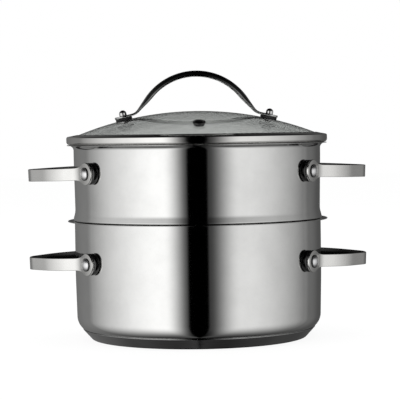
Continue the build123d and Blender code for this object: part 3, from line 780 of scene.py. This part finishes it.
camera_turn, camera_distance, camera_height, camera_roll = 1.7, 1.732, 0.2045, 0.8
aim_height, aim_right, focal_length = 0.1346, 0.00246, 158.4
a = math.radians(camera_turn)
towards = Vector((-math.sin(a), -math.cos(a), 0))
right = Vector((math.cos(a), -math.sin(a), 0))
eye = towards * camera_distance + Vector((0, 0, camera_height))
aim = right * aim_right + Vector((0, 0, aim_height))
back = (eye - aim).normalized()
side = Vector((0, 0, 1)).cross(back).normalized()
up = back.cross(side)
roll = math.radians(camera_roll)
across = side * math.cos(roll) - up * math.sin(roll)
upright = back.cross(across)
lens = bpy.data.cameras.new("camera")
lens.lens, lens.sensor_width = focal_length, 36.0
lens.clip_start, lens.clip_end = 0.05, 50.0
camera = bpy.data.objects.new("camera", lens)
camera.matrix_world = Matrix((across, upright, back)).transposed().to_4x4()
camera.matrix_world.translation = eye
bpy.context.scene.collection.objects.link(camera)
bpy.context.scene.camera = camera


# Studio, in metres. The screens stand on a drum that closes above and below.

drum_radius, drum_middle = 3.0, 0.12


def stage_piece(name, points, faces, finish):
    mesh = bpy.data.meshes.new(name)
    mesh.from_pydata(np.asarray(points).tolist(), [], np.asarray(faces).tolist())
    mesh.shade_smooth()
    mesh.materials.append(finish)
    piece = bpy.data.objects.new(name, mesh)
    bpy.context.scene.collection.objects.link(piece)
    return piece


def pale_floor():
    """White floor: mostly its own white, with a share that takes the light and keeps the object's shadow."""
    look = Look("pale_floor")
    x, y, z = look.place()
    grain = look.noise(look.vector(x, y, z), 3.0, 2.0)
    tone = look.between(grain.ramp(0.2, 0.8), (0.93, 0.93, 0.93), (0.91, 0.91, 0.91))
    lit = look.node("ShaderNodeBsdfDiffuse", None, {"Color": tone})
    white = look.node("ShaderNodeEmission", None, {"Color": (1, 1, 1, 1), "Strength": 1.0})
    path = look.node("ShaderNodeLightPath", output=None)
    seen = Field(look, path.outputs["Is Camera Ray"]) + Field(look, path.outputs["Is Glossy Ray"])
    seen = (seen + Field(look, path.outputs["Is Transmission Ray"])).at_most(1.0)
    mix = look.node("ShaderNodeMixShader", None, {0: seen * 0.90, 1: lit, 2: white})
    look.node("ShaderNodeOutputMaterial", None, {"Surface": mix}, None)
    return look.owner


def studio_screens():
    """Screens round the set, seen only in the gloss of the metal and glass. Their level depends on where they
    stand: dark behind the camera, a bright screen on each side of it that fades towards the back, dark above
    and dark straight below. Each soft edge is a smooth step in degrees."""
    look = Look("studio_screens")
    x, y, z = look.place()
    degrees = 180 / math.pi
    turned_by = x.maths("ARCTAN2", x, y * -1.0) * degrees + camera_turn
    off = turned_by.absolute()
    level = z.maths("ARCTAN2", z - drum_middle, (x * x + y * y).power(0.5)) * degrees
    left = turned_by * -1.0
    dim = off.ramp(8.2, 10.4) * 0.05
    left_fade = 1.0 - 0.80 * ((left - 38.0).at_least(0.0) / 80.0).at_most(1.0).power(1.25)
    left_screen = left.ramp(8.0, 31.0) * left_fade * left.ramp(124.0, 114.0) * 1.12
    right_fade = 1.0 - 0.78 * ((turned_by - 48.0).at_least(0.0) / 66.0).at_most(1.0).power(1.25)
    right_screen = turned_by.ramp(10.0, 39.0) * right_fade * turned_by.ramp(124.0, 114.0) * 0.78
    left_back = left.ramp(112.0, 124.0) * left.ramp(124.0, 168.0, 0.165, 0.11)
    right_back = turned_by.ramp(112.0, 124.0) * turned_by.ramp(124.0, 152.0, 0.105, 0.035)
    behind = (left_back + right_back) * off.ramp(176.0, 166.0)
    above = level.ramp(10.0, 37.0, 1.0, 0.06) * level.ramp(34.0, 60.0, 1.0, 0.2)
    below = level.ramp(-80.0, -14.0, 0.08, 1.0)
    shown = (dim + left_screen + right_screen + behind) * above * below
    lamp = look.node("ShaderNodeEmission", None, {"Color": (1.0, 1.0, 0.992, 1), "Strength": shown})
    look.node("ShaderNodeOutputMaterial", None, {"Surface": lamp}, None)
    return look.owner


floor = stage_piece("floor", [(-6, -6, 0), (6, -6, 0), (6, 6, 0), (-6, 6, 0)], [(0, 1, 2, 3)], pale_floor())
floor.visible_glossy = False
t = np.linspace(-math.pi / 2, math.pi / 2, 49)
drum = np.stack([drum_radius * np.cos(t), drum_radius * np.sin(t) + drum_middle], axis=-1)
screen_points, screen_faces = turned(drum, 96, closed=False)
screens = stage_piece("screens", screen_points, screen_faces, studio_screens())
screens.visible_camera = screens.visible_diffuse = screens.visible_transmission = False
screens.visible_shadow = screens.visible_volume_scatter = False

world = bpy.data.worlds.new("studio_world")
bpy.context.scene.world = world
air = Look("air", world)
white = air.node("ShaderNodeBackground", None, {"Color": (1, 1, 1, 1), "Strength": 1.0})
air.node("ShaderNodeOutputWorld", None, {"Surface": white}, None)

for name, spot, size, power in (
        ("left_lamp", (-1.6, -1.2, 1.5), 1.2, 14.0),
        ("right_lamp", (1.7, -0.9, 1.3), 1.2, 9.0),
        ("top_lamp", (0.0, 0.4, 2.2), 1.8, 16.0)):
    lamp = bpy.data.lights.new(name, "AREA")
    lamp.shape, lamp.size, lamp.energy = "SQUARE", size, power
    hung = bpy.data.objects.new(name, lamp)
    hung.location = spot
    hung.rotation_euler = (Vector((0, 0, 0.1)) - Vector(spot)).to_track_quat("-Z", "Y").to_euler()
    hung.visible_glossy = hung.visible_camera = hung.visible_transmission = False
    bpy.context.scene.collection.objects.link(hung)

bpy.context.scene.view_settings.view_transform = "Standard"
